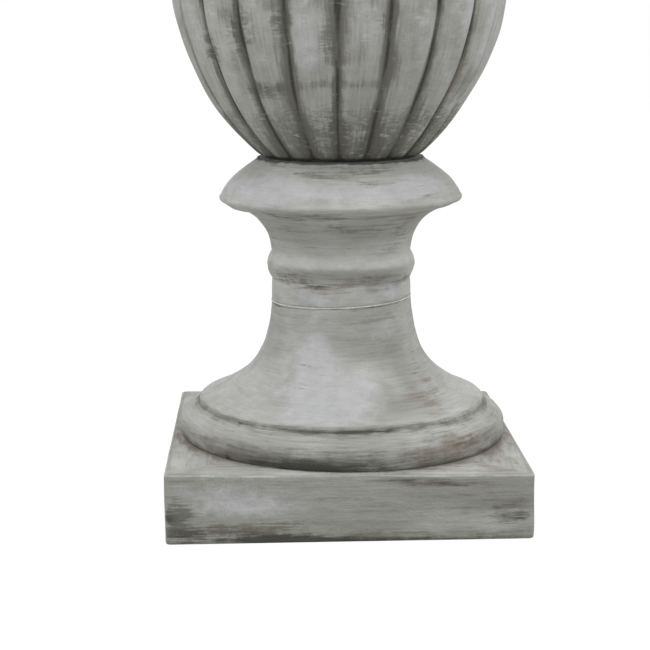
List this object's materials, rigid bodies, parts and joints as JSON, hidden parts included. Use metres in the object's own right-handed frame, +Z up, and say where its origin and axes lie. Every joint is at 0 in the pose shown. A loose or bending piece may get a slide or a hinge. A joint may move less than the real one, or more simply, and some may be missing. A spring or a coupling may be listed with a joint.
{
  "type": "urn planter",
  "caption": "Cast-stone garden urn planter: lobed bowl with plain neck and rolled rim on a moulded collar, short stem and square plinth, with a pull-out drain plug.",
  "frame": {"origin": "on the ground under the centre of the square plinth", "axes": "+Z up along the urn's axis; -Y is the front, square to one face of the plinth; +X to the right seen from the front"},
  "size_m": [0.3354, 0.3354, 0.711],
  "materials": {
    "cast_stone_pedestal": "matt cast stone, grey with a brushed brown-grey antique wash",
    "cast_stone_stem": "matt cast stone, grey with a brushed brown-grey antique wash",
    "cast_stone_bowl": "matt cast stone, grey, the wash darker in the grooves between the lobes",
    "sealant": "pale grey sealing compound, satin",
    "mortar": "rough bedding mortar",
    "zinc_steel": "zinc-plated",
    "bar_steel": "galvanised flat bar",
    "black_rubber": "matt moulded rubber"
  },
  "bodies": {
    "urn": {"pedestal_shell": "cast_stone_pedestal", "waist_seal_bead": "sealant", "stem_collar": "cast_stone_stem", "bowl_bedding_ring": "mortar", "fluted_bowl": "cast_stone_bowl", "bolt_sealing_washer": "black_rubber", "bolt_head_washer": "zinc_steel", "tie_bolt": "zinc_steel", "cross_bar": "bar_steel", "nut_washer": "zinc_steel", "tie_nut": "zinc_steel"},
    "plug": {"drain_plug": "black_rubber"}
  },
  "joints": [
    {"name": "drain_plug_pull", "type": "slide", "parent": "urn", "child": "plug", "axis": [0, 0, 1], "range_m": [0, 0.39]}
  ]
}
